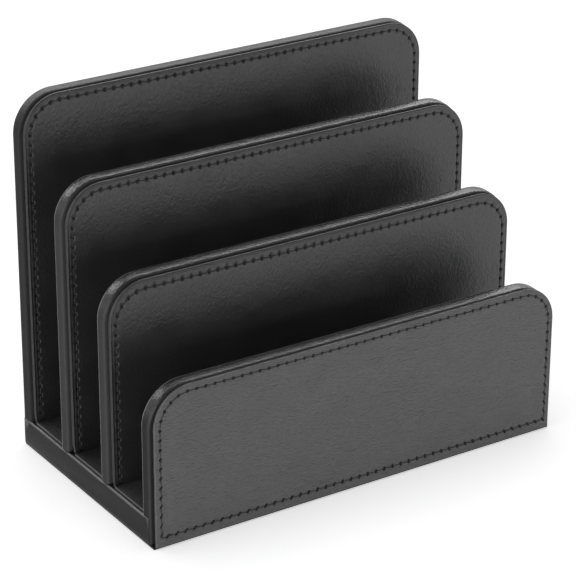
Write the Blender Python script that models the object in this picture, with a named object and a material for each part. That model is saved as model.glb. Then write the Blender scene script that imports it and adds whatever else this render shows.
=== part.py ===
# Letter holder with three open slots between four stepped upright panels on a low base.
# Each panel is a fibreboard core in a leather wrap, with a stitched leather facing on its front.
# Metres, +Z up. The origin is at the bottom centre, and the lowest panel faces -Y.

import math
from collections import namedtuple

import bmesh
import bpy

MM = 0.001

# Overall sizes
WIDTH = 190.0 * MM
DEPTH = 106.1 * MM
FRONT_HEIGHT = 66.8 * MM
LOWER_DIVIDER_HEIGHT = 97.3 * MM
UPPER_DIVIDER_HEIGHT = 125.8 * MM
BACK_HEIGHT = 152.3 * MM
BASE_HEIGHT = 12.0 * MM
TOP_CORNER_RADIUS = 17.0 * MM
BOTTOM_CORNER_RADIUS = 0.6 * MM
DIVIDER_FOOT_RADIUS = 0.3 * MM

# Layers of a panel
BOARD_THICKNESS = 6.0 * MM
WRAP_LEATHER = 0.8 * MM
FACING_LEATHER = 0.6 * MM
CARD_THICKNESS = 0.6 * MM
LAYER_GAP = 0.2 * MM

# Edges of the wrapped panel
FRONT_EDGE_RADIUS = 2.6 * MM
REAR_EDGE_RADIUS = 1.4 * MM
WRAP_LIP = 12.0 * MM
SMALLEST_RADIUS = 0.2 * MM

# Stitched facing
FACING_SIDE_INSET = 1.0 * MM
FACING_TOP_INSET = 0.45 * MM
FACING_FOOT_RADIUS = 0.4 * MM
FACING_EDGE_RADIUS = 0.5 * MM
CREASE_INSET = 1.1 * MM
CREASE_WIDTH = 0.5 * MM
CREASE_DEPTH = 0.12 * MM
STITCH_INSET = 2.8 * MM
THREAD_RADIUS = 0.25 * MM
THREAD_CLEARANCE = 0.07 * MM
THREAD_SUNK_SHARE = 0.6

# Base
BASE_EDGE_RADIUS = 0.6 * MM
BASE_FOOT_RADIUS = 0.3 * MM
STRIP_TOP_LIP = 10.0 * MM
STRIP_BOTTOM_LIP = 8.0 * MM
STRIP_SKIVE = 0.1 * MM
LINING_THICKNESS = 0.5 * MM
LINING_SIDE_INSET = 1.6 * MM
LINING_EDGE_RADIUS = 0.2 * MM
FELT_THICKNESS = 0.6 * MM
FELT_INSET = 0.3 * MM

# Wood screws
SCREW_RADIUS = 1.5 * MM
SCREW_HEAD_RADIUS = 2.4 * MM
SCREW_HEAD_DEPTH = 1.4 * MM
SCREW_TIP = 3.0 * MM
SCREW_SUNK = 0.1 * MM
SCREW_CLEARANCE = 0.15 * MM
SCREW_HOLD = 11.0 * MM
DIVIDER_SCREW_SHARES = (-0.34, 0.0, 0.34)
END_SCREW_SHARES = (-0.3, 0.3)

# How far a cutter runs past what it cuts
OVERRUN = 2.0 * MM

# Facets
TOP_CORNER_STEPS = 10
BOTTOM_CORNER_STEPS = 3
WRAP_EDGE_STEPS = 4
BOARD_EDGE_STEPS = 3
FACING_EDGE_STEPS = 3
SMALL_EDGE_STEPS = 3
LINING_EDGE_STEPS = 2
THREAD_SIDES = 6
SCREW_SIDES = 12
SHARP_ANGLE_DEGREES = 35

# Sizes that follow from those above
HALF_WIDTH = WIDTH / 2
LAYER = WRAP_LEATHER + LAYER_GAP
WRAP_THICKNESS = LAYER + BOARD_THICKNESS + LAYER
FACING_THICKNESS = FACING_LEATHER + LAYER_GAP + CARD_THICKNESS
WRAP_SETBACK = FACING_THICKNESS + LAYER_GAP
PANEL_THICKNESS = WRAP_SETBACK + WRAP_THICKNESS
THREAD_PROUD = 2 * THREAD_RADIUS * (1 - THREAD_SUNK_SHARE)
SLOT_COUNT = 3
SLOT_GAP = (DEPTH - THREAD_PROUD - (SLOT_COUNT + 1) * PANEL_THICKNESS) / SLOT_COUNT
PITCH = PANEL_THICKNESS + SLOT_GAP
BACK = DEPTH / 2
FRONT = THREAD_PROUD - DEPTH / 2
BASE_FRONT = FRONT + PANEL_THICKNESS + LAYER_GAP
BASE_BACK = FRONT + SLOT_COUNT * PITCH + WRAP_SETBACK - LAYER_GAP
BASE_TOP = BASE_HEIGHT + LAYER_GAP
FOOT = FELT_THICKNESS + LAYER_GAP
BOARD_SIDE = HALF_WIDTH - LAYER
BOARD_BOTTOM = FOOT + LAYER
BOARD_TOP = BASE_HEIGHT - LAYER

# A panel's front is the place of its front face, and its two feet are where wrap and facing start
Panel = namedtuple("Panel", "name front foot facing_foot height")
PANELS = (
    Panel("front", FRONT, FOOT, FOOT, FRONT_HEIGHT),
    Panel("lower_divider", FRONT + PITCH, BASE_TOP, BASE_TOP, LOWER_DIVIDER_HEIGHT),
    Panel("upper_divider", FRONT + 2 * PITCH, BASE_TOP, BASE_TOP, UPPER_DIVIDER_HEIGHT),
    Panel("back", FRONT + 3 * PITCH, FOOT, BASE_TOP, BACK_HEIGHT),
)


def clear_scene():
    for item in list(bpy.data.objects):
        bpy.data.objects.remove(item, do_unlink=True)


def make_material(name, colour, roughness, metallic=0.0):
    material = bpy.data.materials.new(name)
    material.use_nodes = True
    shader = material.node_tree.nodes["Principled BSDF"]
    shader.inputs["Base Color"].default_value = (*colour, 1.0)
    shader.inputs["Roughness"].default_value = roughness
    shader.inputs["Metallic"].default_value = metallic
    material.diffuse_color = (*colour, 1.0)
    return material


def make_materials():
    return {
        "wrap": make_material("black_wrap_leather", (0.030, 0.030, 0.031), 0.46),
        "facing": make_material("black_facing_leather", (0.042, 0.042, 0.043), 0.52),
        "thread": make_material("black_thread", (0.008, 0.008, 0.009), 0.70),
        "lining": make_material("dark_slot_lining", (0.022, 0.022, 0.023), 0.80),
        "fibreboard": make_material("fibreboard", (0.36, 0.24, 0.14), 0.85),
        "card": make_material("grey_card", (0.30, 0.29, 0.27), 0.90),
        "felt": make_material("black_felt", (0.015, 0.015, 0.016), 0.95),
        "steel": make_material("zinc_steel", (0.55, 0.55, 0.56), 0.35, 1.0),
    }


def arc(centre, radius, start, end, steps):
    points = []
    for step in range(steps + 1):
        angle = math.radians(start + (end - start) * step / steps)
        points.append((centre[0] + radius * math.cos(angle), centre[1] + radius * math.sin(angle)))
    return points


def panel_outline(half_width, foot, top, foot_radius, inset):
    """The (x, z) outline of a panel or of one of its layers, drawn in by an inset all round."""
    side = half_width - inset
    low = foot + inset
    high = top - inset
    upper = max(TOP_CORNER_RADIUS - (HALF_WIDTH - half_width) - inset, SMALLEST_RADIUS)
    lower = max(foot_radius - inset, SMALLEST_RADIUS)
    points = arc((side - lower, low + lower), lower, -90, 0, BOTTOM_CORNER_STEPS)
    points += arc((side - upper, high - upper), upper, 0, 90, TOP_CORNER_STEPS)
    points += arc((upper - side, high - upper), upper, 90, 180, TOP_CORNER_STEPS)
    points += arc((lower - side, low + lower), lower, 180, 270, BOTTOM_CORNER_STEPS)
    return points


def finish_object(mesh_data, name, material):
    bmesh.ops.recalc_face_normals(mesh_data, faces=mesh_data.faces)
    mesh = bpy.data.meshes.new(name)
    mesh_data.to_mesh(mesh)
    mesh_data.free()
    item = bpy.data.objects.new(name, mesh)
    bpy.context.scene.collection.objects.link(item)
    if material is None:
        item.hide_render = True
        item.display_type = "WIRE"
        return item
    mesh.materials.append(material)
    mesh.shade_smooth()
    mesh.set_sharp_from_angle(angle=math.radians(SHARP_ANGLE_DEGREES))
    return item


def join_rings(mesh_data, first, second):
    count = len(first)
    for index in range(count):
        following = (index + 1) % count
        mesh_data.faces.new((first[index], first[following], second[following], second[index]))


def ring_body(name, outline, profile, material, closed=False):
    """Lofts the outline through (inset, y) pairs, with flat ends, or round to a closed ring."""
    mesh_data = bmesh.new()
    rings = []
    for inset, place in profile:
        rings.append([mesh_data.verts.new((x, place, z)) for x, z in outline(inset)])
    for first, second in zip(rings, rings[1:]):
        join_rings(mesh_data, first, second)
    if closed:
        join_rings(mesh_data, rings[-1], rings[0])
    else:
        mesh_data.faces.new(rings[0])
        mesh_data.faces.new(rings[-1])
    return finish_object(mesh_data, name, material)


def prism(name, points, start, end, axis, material):
    """Extrudes a closed outline: (x, z) points along Y, or (y, z) points along X."""
    mesh_data = bmesh.new()
    rings = []
    for place in (start, end):
        if axis == "Y":
            rings.append([mesh_data.verts.new((across, place, up)) for across, up in points])
        else:
            rings.append([mesh_data.verts.new((place, along, up)) for along, up in points])
    join_rings(mesh_data, rings[0], rings[1])
    mesh_data.faces.new(rings[0])
    mesh_data.faces.new(rings[1])
    return finish_object(mesh_data, name, material)


def block(name, low, high, material):
    points = [(low[0], low[2]), (high[0], low[2]), (high[0], high[2]), (low[0], high[2])]
    return prism(name, points, low[1], high[1], "Y", material)


def cut(item, cutter, operation="DIFFERENCE"):
    modifier = item.modifiers.new(cutter.name, "BOOLEAN")
    modifier.operation = operation
    modifier.solver = "EXACT"
    modifier.object = cutter


def bevel_edges(item, width, steps):
    modifier = item.modifiers.new("rounded_edges", "BEVEL")
    modifier.width = width
    modifier.segments = steps
    modifier.limit_method = "ANGLE"


def board_edge(radius):
    return max(radius - LAYER, SMALLEST_RADIUS)


def rounded_edge(face, radius, towards, steps, inset=0.0):
    """(inset, y) pairs round an edge, from the side surface on to the face, which looks towards Y or -Y."""
    start = face - towards * radius
    points = []
    for step in range(steps + 1):
        angle = math.pi / 2 * step / steps
        points.append((inset + radius * (1 - math.cos(angle)), start + towards * radius * math.sin(angle)))
    return points


def wrap_outline(panel):
    """The outline function of a panel's wrap and board. A divider's foot is square, flush with the base."""
    foot_radius = BOTTOM_CORNER_RADIUS if panel.foot < BASE_TOP else DIVIDER_FOOT_RADIUS

    def outline(inset):
        return panel_outline(HALF_WIDTH, panel.foot, panel.height, foot_radius, inset)

    return outline


def make_board(panel, materials):
    """The fibreboard core, rounded at the front edge where the leather turns over it."""
    near = panel.front + WRAP_SETBACK + LAYER
    far = near + BOARD_THICKNESS
    profile = rounded_edge(far, board_edge(REAR_EDGE_RADIUS), 1, 1, LAYER)[::-1]
    profile += rounded_edge(near, board_edge(FRONT_EDGE_RADIUS), -1, BOARD_EDGE_STEPS, LAYER)
    return ring_body(panel.name + "_board", wrap_outline(panel), profile, materials["fibreboard"])


def make_wrap(panel, materials):
    """The leather tray over the back, the edges and a lip of the front."""
    near = panel.front + WRAP_SETBACK
    far = near + WRAP_THICKNESS
    inner_front = max(FRONT_EDGE_RADIUS - WRAP_LEATHER, SMALLEST_RADIUS)
    inner_rear = max(REAR_EDGE_RADIUS - WRAP_LEATHER, SMALLEST_RADIUS)
    inner_near = near + WRAP_LEATHER
    inner_far = far - WRAP_LEATHER
    profile = rounded_edge(far, REAR_EDGE_RADIUS, 1, SMALL_EDGE_STEPS)[::-1]
    profile += rounded_edge(near, FRONT_EDGE_RADIUS, -1, WRAP_EDGE_STEPS)
    profile += [(WRAP_LIP, near), (WRAP_LIP, inner_near)]
    profile += rounded_edge(inner_near, inner_front, -1, SMALL_EDGE_STEPS, WRAP_LEATHER)[::-1]
    profile += rounded_edge(inner_far, inner_rear, 1, 1, WRAP_LEATHER)
    return ring_body(panel.name + "_wrap", wrap_outline(panel), profile, materials["wrap"])


def facing_outline(panel):
    """The outline function of a panel's facing, a little inside its wrap."""
    half_width = HALF_WIDTH - FACING_SIDE_INSET
    top = panel.height - FACING_TOP_INSET

    def outline(inset):
        return panel_outline(half_width, panel.facing_foot, top, FACING_FOOT_RADIUS, inset)

    return outline


def make_facing_card(panel, materials):
    """The thin card that keeps the facing flat."""
    edge = FACING_LEATHER + LAYER_GAP
    near = panel.front + edge
    profile = [(edge, near), (edge, near + CARD_THICKNESS)]
    return ring_body(panel.name + "_facing_card", facing_outline(panel), profile, materials["card"])


def make_facing(panel, materials):
    """The leather facing, turned back over its card, with a creased line and a stitch channel."""
    front = panel.front
    back = front + FACING_THICKNESS
    inner = front + FACING_LEATHER
    channel_half = THREAD_RADIUS + THREAD_CLEARANCE
    channel_depth = 2 * THREAD_RADIUS - THREAD_PROUD + THREAD_CLEARANCE
    crease_half = CREASE_WIDTH / 2
    profile = [(FACING_LEATHER, inner), (FACING_LEATHER, back), (0.0, back)]
    profile += rounded_edge(front, FACING_EDGE_RADIUS, -1, FACING_EDGE_STEPS)
    profile += [
        (CREASE_INSET - crease_half, front),
        (CREASE_INSET, front + CREASE_DEPTH),
        (CREASE_INSET + crease_half, front),
        (STITCH_INSET - channel_half, front),
        (STITCH_INSET - channel_half, front + channel_depth),
        (STITCH_INSET + channel_half, front + channel_depth),
        (STITCH_INSET + channel_half, front),
    ]
    return ring_body(panel.name + "_facing", facing_outline(panel), profile, materials["facing"])


def make_thread(panel, materials):
    """The seam's thread, laid in the stitch channel."""
    centre = panel.front + THREAD_RADIUS - THREAD_PROUD
    profile = []
    for side in range(THREAD_SIDES):
        angle = 2 * math.pi * (side + 0.5) / THREAD_SIDES
        across = THREAD_RADIUS * math.cos(angle)
        profile.append((STITCH_INSET + across, centre + THREAD_RADIUS * math.sin(angle)))
    return ring_body(panel.name + "_thread", facing_outline(panel), profile, materials["thread"], True)


def make_base_board(materials):
    """The fibreboard base between the front panel and the back panel."""
    low = (-BOARD_SIDE, BASE_FRONT, BOARD_BOTTOM)
    high = (BOARD_SIDE, BASE_BACK, BOARD_TOP)
    return block("base_board", low, high, materials["fibreboard"])


def strip_section(side):
    """The (x, z) section of a side strip: a wall with a lip turned in above and one below."""
    radius = BASE_FOOT_RADIUS
    inner = max(radius - WRAP_LEATHER, SMALLEST_RADIUS)
    wall = HALF_WIDTH - WRAP_LEATHER
    roof = BASE_HEIGHT - WRAP_LEATHER
    points = [(HALF_WIDTH - STRIP_BOTTOM_LIP, FOOT)]
    points += arc((HALF_WIDTH - radius, FOOT + radius), radius, -90, 0, SMALL_EDGE_STEPS)
    points += arc((HALF_WIDTH - SMALLEST_RADIUS, BASE_HEIGHT - SMALLEST_RADIUS), SMALLEST_RADIUS, 0, 90, 1)
    points += [(HALF_WIDTH - STRIP_TOP_LIP, BASE_HEIGHT), (HALF_WIDTH - STRIP_TOP_LIP, roof)]
    points += arc((wall - inner, roof - inner), inner, 90, 0, 1)
    points += arc((wall - inner, FOOT + WRAP_LEATHER + inner), inner, 0, -90, 1)
    points += [(HALF_WIDTH - STRIP_BOTTOM_LIP, FOOT + WRAP_LEATHER)]
    return [(side * across, up) for across, up in points]


def strip_side_outline(grow, top):
    """The (y, z) outline of a side strip, from the front panel's flat side to the back panel's, grown."""
    start = FRONT + WRAP_SETBACK + FRONT_EDGE_RADIUS - grow
    end = BACK - REAR_EDGE_RADIUS + grow
    return [(start, -OVERRUN), (end, -OVERRUN), (end, top), (start, top)]


def edge_cutter(name, side, panel):
    """Rounds a strip's upper edge in the slot behind a panel. Under the panels it stays square and flush."""
    radius = BASE_EDGE_RADIUS
    points = arc((HALF_WIDTH - radius, BASE_HEIGHT - radius), radius, 0, 90, SMALL_EDGE_STEPS)
    points.append((HALF_WIDTH - radius, BASE_HEIGHT + OVERRUN))
    points.append((HALF_WIDTH + OVERRUN, BASE_HEIGHT + OVERRUN))
    points.append((HALF_WIDTH + OVERRUN, BASE_HEIGHT - radius))
    near = panel.front + PANEL_THICKNESS - REAR_EDGE_RADIUS
    far = panel.front + PITCH + WRAP_SETBACK + FRONT_EDGE_RADIUS
    return prism(name, [(side * across, up) for across, up in points], near, far, "Y", None)


def make_strip(name, side, materials):
    """The leather strip round a long edge of the base, ending in thin tabs over both end panels."""
    strip = prism(name, strip_section(side), FRONT, BACK, "Y", materials["wrap"])
    deep = side * (HALF_WIDTH - STRIP_TOP_LIP - OVERRUN)
    clear = side * (HALF_WIDTH + OVERRUN)
    ends = prism(name + "_end_cutter", strip_side_outline(0.0, BASE_TOP + OVERRUN), deep, clear, "X", None)
    cut(strip, ends, "INTERSECT")
    for number, panel in enumerate(PANELS[:SLOT_COUNT], 1):
        cut(strip, edge_cutter(f"{name}_edge_cutter_{number}", side, panel))
    skived = side * (HALF_WIDTH - WRAP_LEATHER + STRIP_SKIVE)
    for label, near, far in (("front", FRONT - OVERRUN, BASE_FRONT), ("rear", BASE_BACK, BACK + OVERRUN)):
        low = (min(0.0, skived), near, -OVERRUN)
        high = (max(0.0, skived), far, BASE_HEIGHT + OVERRUN)
        cut(strip, block(f"{name}_{label}_cutter", low, high, None))
    return strip


def notch_cutter(name, side):
    """Takes the end panels' wraps away where a side strip is glued on."""
    inner = HALF_WIDTH - WRAP_LEATHER - LAYER_GAP / 2
    outline = strip_side_outline(LAYER_GAP, BASE_TOP)
    return prism(name, outline, side * inner, side * (HALF_WIDTH + OVERRUN), "X", None)


def make_lining(name, panel, materials):
    """The lining on the floor of the slot behind a panel."""
    side = HALF_WIDTH - LINING_SIDE_INSET
    low = (-side, panel.front + PANEL_THICKNESS + LAYER_GAP, BASE_TOP)
    high = (side, panel.front + PITCH - LAYER_GAP, BASE_TOP + LINING_THICKNESS)
    lining = block(name, low, high, materials["lining"])
    bevel_edges(lining, LINING_EDGE_RADIUS, LINING_EDGE_STEPS)
    return lining


def make_felt(materials):
    """The felt sole under the whole holder."""
    side = HALF_WIDTH - FELT_INSET
    low = (-side, FRONT + FELT_INSET, 0.0)
    high = (side, BACK - FELT_INSET, FELT_THICKNESS)
    return block("underside_felt", low, high, materials["felt"])


def screw_profile(length, grow, mouth):
    """(radius, distance from the head) pairs of a countersunk wood screw or of its hole."""
    head = SCREW_HEAD_RADIUS + grow
    shank = SCREW_RADIUS + grow
    return [
        (0.0, -mouth),
        (head, -mouth),
        (head, SCREW_SUNK),
        (shank, SCREW_SUNK + SCREW_HEAD_DEPTH),
        (shank, length - SCREW_TIP),
        (0.0, length + grow),
    ]


def add_turned(mesh_data, profile, origin, direction):
    """Turns a profile that starts and ends on the axis, along +Z, +Y or -Y from the origin."""
    rings = []
    for radius, along in profile:
        ring = []
        for step in range(SCREW_SIDES if radius > 0.0 else 1):
            angle = 2 * math.pi * step / SCREW_SIDES
            across = radius * math.cos(angle)
            aside = radius * math.sin(angle)
            if direction == "up":
                offset = (across, aside, along)
            elif direction == "rearward":
                offset = (across, along, aside)
            else:
                offset = (across, -along, aside)
            ring.append(mesh_data.verts.new([start + step_by for start, step_by in zip(origin, offset)]))
        rings.append(ring)
    for first, second in zip(rings, rings[1:]):
        for index in range(SCREW_SIDES):
            following = (index + 1) % SCREW_SIDES
            corners = [first[index % len(first)], first[following % len(first)]]
            corners += [second[following % len(second)], second[index % len(second)]]
            mesh_data.faces.new(list(dict.fromkeys(corners)))


def screw_places(panel):
    """Where a panel's screws start, which way they go and how long they are."""
    near = panel.front + WRAP_SETBACK + LAYER
    if panel.name in ("front", "back"):
        direction = "rearward" if panel.name == "front" else "forward"
        start = near if panel.name == "front" else near + BOARD_THICKNESS
        middle = (BOARD_BOTTOM + BOARD_TOP) / 2
        places = [(share * WIDTH, start, middle) for share in END_SCREW_SHARES]
        return places, direction, BOARD_THICKNESS + LAYER + LAYER_GAP + SCREW_HOLD
    centre = near + BOARD_THICKNESS / 2
    places = [(share * WIDTH, centre, BOARD_BOTTOM) for share in DIVIDER_SCREW_SHARES]
    return places, "up", BASE_TOP + LAYER - BOARD_BOTTOM + SCREW_HOLD


def make_screws(panel, materials):
    places, direction, length = screw_places(panel)
    for number, place in enumerate(places, 1):
        mesh_data = bmesh.new()
        add_turned(mesh_data, screw_profile(length, 0.0, -SCREW_SUNK / 2), place, direction)
        finish_object(mesh_data, f"{panel.name}_screw_{number}", materials["steel"])


def screw_cutter(panel):
    """The holes of one panel's screws, as one cutter."""
    places, direction, length = screw_places(panel)
    mesh_data = bmesh.new()
    for place in places:
        add_turned(mesh_data, screw_profile(length, SCREW_CLEARANCE, LAYER_GAP / 2), place, direction)
    return finish_object(mesh_data, panel.name + "_screw_cutter", None)


def build():
    clear_scene()
    materials = make_materials()
    base_board = make_base_board(materials)
    notches = [notch_cutter("left_notch_cutter", -1), notch_cutter("right_notch_cutter", 1)]
    for panel in PANELS:
        board = make_board(panel, materials)
        wrap = make_wrap(panel, materials)
        make_facing_card(panel, materials)
        make_facing(panel, materials)
        make_thread(panel, materials)
        if panel.name in ("front", "back"):
            for notch in notches:
                cut(wrap, notch)
        holes = screw_cutter(panel)
        for item in (board, wrap, base_board):
            cut(item, holes)
        make_screws(panel, materials)
    make_strip("base_strip_left", -1, materials)
    make_strip("base_strip_right", 1, materials)
    for name, panel in zip(("front_slot_lining", "middle_slot_lining", "rear_slot_lining"), PANELS):
        make_lining(name, panel, materials)
    make_felt(materials)


build()
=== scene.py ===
import math
from collections import namedtuple

import bmesh
import bpy
from mathutils import Matrix, Vector

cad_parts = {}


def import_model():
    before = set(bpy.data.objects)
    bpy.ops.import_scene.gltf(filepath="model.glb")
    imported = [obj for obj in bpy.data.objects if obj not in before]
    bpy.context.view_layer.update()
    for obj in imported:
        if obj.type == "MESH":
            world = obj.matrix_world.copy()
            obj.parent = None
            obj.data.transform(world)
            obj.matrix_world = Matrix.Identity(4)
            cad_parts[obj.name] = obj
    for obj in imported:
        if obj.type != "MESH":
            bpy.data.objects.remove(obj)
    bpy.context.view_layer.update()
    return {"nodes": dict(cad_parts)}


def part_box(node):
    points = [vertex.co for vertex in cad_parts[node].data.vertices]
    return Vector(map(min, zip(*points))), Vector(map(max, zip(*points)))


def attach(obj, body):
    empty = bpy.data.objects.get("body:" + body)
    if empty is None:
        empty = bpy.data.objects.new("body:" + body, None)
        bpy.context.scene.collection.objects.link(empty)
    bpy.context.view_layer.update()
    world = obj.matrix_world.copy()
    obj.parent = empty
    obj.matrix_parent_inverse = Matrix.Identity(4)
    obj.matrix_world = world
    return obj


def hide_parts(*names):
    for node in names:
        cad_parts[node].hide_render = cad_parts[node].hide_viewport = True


MM = 0.001

# Panel shapes
TOP_CORNER_RADIUS = 17.0 * MM
BOTTOM_CORNER_RADIUS = 0.6 * MM
DIVIDER_FOOT_RADIUS = 0.3 * MM
FRONT_EDGE_RADIUS = 2.6 * MM
REAR_EDGE_RADIUS = 2.4 * MM
WRAP_LEATHER = 0.8 * MM
WRAP_LIP = 12.0 * MM
CROWN_DEGREES = 8.0
SMALLEST_RADIUS = 0.2 * MM
FACING_LEATHER = 0.6 * MM
FACING_EDGE_RADIUS = 0.55 * MM
FACING_FOOT_RADIUS = 0.3 * MM
CREASE_INSET = 1.15 * MM
CREASE_HALF_WIDTH = 0.4 * MM
CREASE_DEPTH = 0.12 * MM

# Seam
STITCH_INSET = 2.8 * MM
STITCH_LENGTH = 4.0 * MM
THREAD_RADIUS = 0.23 * MM
THREAD_PROUD = 0.16 * MM
THREAD_DIP = 0.5 * MM
THREAD_LOBE_SHARE = 0.16
THREAD_TURNS = 3.5
THREAD_PLIES = 2
THREAD_DIP_POWER = 3
HOLE_DEPTH = 0.6 * MM
HOLE_RADIUS = 0.68 * MM
CHANNEL_DEPTH = 0.05 * MM
CHANNEL_HALF_WIDTH = 0.55 * MM

# Base
BASE_EDGE_RADIUS = 0.8 * MM
BASE_FOOT_RADIUS = 0.4 * MM
# A painted reflection of the floor along a strip's foot: how high it reaches and how strong it is at the
# foot
FOOT_REFLECTION_HEIGHT = 1.4 * MM
FOOT_REFLECTION_SHARE = 0.7
STRIP_TOP_LIP = 10.0 * MM
STRIP_BOTTOM_LIP = 8.0 * MM
STRIP_TAB_THICKNESS = 0.7 * MM
STRIP_SOFT_EDGE = 0.12 * MM
STRIP_RISE = 0.15 * MM
GLUE_GAP = 0.2 * MM
SOLE_SETBACK = 0.6 * MM
FELT_EDGE_RADIUS = 0.2 * MM

# How far linings pass their CAD boxes: a spread to each side, a reach to front, rear and foot, a rise above
LINING_SPREAD = 0.3 * MM
LINING_REACH = 0.16 * MM
LINING_RISE = 0.35 * MM
LINING_EDGE_RADIUS = 0.24 * MM

# How far a cutter runs past what it cuts
OVERRUN = 2.0 * MM

# Mesh fineness
OUTLINE_SPACING = 0.5 * MM
CORNER_STEPS = 48
FOOT_CORNER_STEPS = 5
EDGE_STEPS = 10
INNER_EDGE_STEPS = 2
FACING_REAR_STEPS = 6
FACING_FRONT_STEPS = 8
STRIP_EDGE_STEPS = 8
SOFT_EDGE_STEPS = 3
SHEET_EDGE_STEPS = 5
THREAD_SIDES = 10
STITCH_STEPS = 16
SHARP_DEGREES = 50
STITCH_SHARP_DEGREES = 80
STRIP_SHARP_DEGREES = 40

# Rings of points across the crease, in shares of its half width, and across the needle holes, in shares
# of their radius
CREASE_RING_SHARES = (-1, -0.5, 0, 0.5, 1)
HOLE_RING_SHARES = (-1.0, -0.75, -0.5, -0.25, 0, 0.25, 0.5, 0.8, 1.1, 1.4, 1.8, 2.3, 3.0, 4.0)

# Only the front facing is sewn along its foot. The others run down behind the slot linings, and their
# foot corners are drawn in a little. Wraps stand a little higher or lower over their facings. Seams run
# a little further in at the top, and the front one a little further out. The back panel thins out
# towards its top.
Panel = namedtuple("Panel", "name foot_radius sewn_foot foot_pull wrap_rise seam_side seam_top thinning")
PANELS = (
    Panel("front", BOTTOM_CORNER_RADIUS, True, 0.0, -0.5 * MM, -0.3 * MM, -0.1 * MM, 0.0),
    Panel("lower_divider", DIVIDER_FOOT_RADIUS, False, 0.4 * MM, 0.3 * MM, 0.0, 1.1 * MM, 0.0),
    Panel("upper_divider", DIVIDER_FOOT_RADIUS, False, 1.3 * MM, 0.4 * MM, 0.0, 0.45 * MM, 0.0),
    Panel("back", BOTTOM_CORNER_RADIUS, False, 0.6 * MM, 0.0, 0.0, 0.2 * MM, 0.6 * MM),
)
FOOT_PULL_HEIGHT = 5.5 * MM

# How far an outline's foot rises, as a share of how far its sides are drawn in
SEWN_FOOT_SHARE = 1.4
PLAIN_FOOT_SHARE = 0.1
Outline = namedtuple(
    "Outline", "half_width foot top corner foot_corner foot_share upright_steps level_steps"
)


def arc(centre, radius, start, end, steps):
    points = []
    for step in range(steps + 1):
        angle = math.radians(start + (end - start) * step / steps)
        points.append((centre[0] + radius * math.cos(angle), centre[1] + radius * math.sin(angle)))
    return points


def between(start, end, steps):
    """The points inside a straight stretch, without its ends."""
    points = []
    for step in range(1, steps):
        share = step / steps
        points.append((start[0] + (end[0] - start[0]) * share, start[1] + (end[1] - start[1]) * share))
    return points


def outline_points(outline, inset):
    """The closed (x, z) outline drawn in by an inset, with as many points at every inset."""
    side = outline.half_width - inset
    low = outline.foot + inset * outline.foot_share
    high = outline.top - inset
    upper = max(outline.corner - inset, SMALLEST_RADIUS)
    lower = max(outline.foot_corner - inset, SMALLEST_RADIUS)
    right = arc((side - lower, low + lower), lower, -90, 0, FOOT_CORNER_STEPS)
    right_top = arc((side - upper, high - upper), upper, 0, 90, CORNER_STEPS)
    left_top = arc((upper - side, high - upper), upper, 90, 180, CORNER_STEPS)
    left = arc((lower - side, low + lower), lower, 180, 270, FOOT_CORNER_STEPS)
    points = right + between(right[-1], right_top[0], outline.upright_steps) + right_top
    points += between(right_top[-1], left_top[0], outline.level_steps) + left_top
    points += between(left_top[-1], left[0], outline.upright_steps) + left
    points += between(left[-1], right[0], outline.level_steps)
    return points


def rounded_edge(face, radius, towards, steps, inset=0.0):
    """(inset, y) pairs round an edge, from the side surface on to the face, which looks towards Y or -Y."""
    start = face - towards * radius
    points = []
    for step in range(steps + 1):
        angle = math.pi / 2 * step / steps
        points.append((inset + radius * (1 - math.cos(angle)), start + towards * radius * math.sin(angle)))
    return points


def crowned_front(near, flat_start):
    """(inset, y) pairs of a wrap's slightly crowned edge surface and the rounding in front of it."""
    tilt = math.radians(CROWN_DEGREES)
    flat_end = near + FRONT_EDGE_RADIUS * (1 - math.sin(tilt))
    crown = (flat_start - flat_end) * math.tan(tilt) / 2
    points = []
    for step in range(1, EDGE_STEPS):
        share = step / EDGE_STEPS
        points.append((crown * share ** 2, flat_start + (flat_end - flat_start) * share))
    for step in range(EDGE_STEPS + 1):
        angle = tilt + (math.pi / 2 - tilt) * step / EDGE_STEPS
        inset = crown + FRONT_EDGE_RADIUS * (math.cos(tilt) - math.cos(angle))
        points.append((inset, near + FRONT_EDGE_RADIUS * (1 - math.sin(angle))))
    return points


def add_ring(mesh_data, points):
    return [mesh_data.verts.new(point) for point in points]


def join_rings(mesh_data, first, second):
    count = len(first)
    for index in range(count):
        following = (index + 1) % count
        mesh_data.faces.new((first[index], first[following], second[following], second[index]))


def loft(mesh_data, outline, profile):
    rings = []
    for inset, place in profile:
        rings.append(add_ring(mesh_data, [(x, place, z) for x, z in outline_points(outline, inset)]))
    for first, second in zip(rings, rings[1:]):
        join_rings(mesh_data, first, second)
    return rings


def finish_piece(mesh_data, name, material, nodes, sharp_degrees=SHARP_DEGREES):
    """Makes the piece, gives it its material and slot, rides it on the root and replaces its CAD nodes."""
    bmesh.ops.recalc_face_normals(mesh_data, faces=mesh_data.faces)
    mesh = bpy.data.meshes.new(name)
    mesh_data.to_mesh(mesh)
    mesh_data.free()
    mesh.materials.append(material)
    mesh.shade_smooth()
    mesh.set_sharp_from_angle(angle=math.radians(sharp_degrees))
    piece = bpy.data.objects.new(name, mesh)
    bpy.context.scene.collection.objects.link(piece)
    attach(piece, "root")
    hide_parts(*nodes)
    return piece


def make_outline(half_width, foot, top, corner, foot_corner, foot_share):
    upright_steps = round((top - foot - corner) / OUTLINE_SPACING)
    level_steps = round(2 * half_width / OUTLINE_SPACING)
    return Outline(half_width, foot, top, corner, foot_corner, foot_share, upright_steps, level_steps)


def wrap_outline(panel):
    low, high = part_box(panel.name + "_wrap")
    return make_outline(high.x, low.z, high.z + panel.wrap_rise, TOP_CORNER_RADIUS, panel.foot_radius, 1.0)


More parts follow.
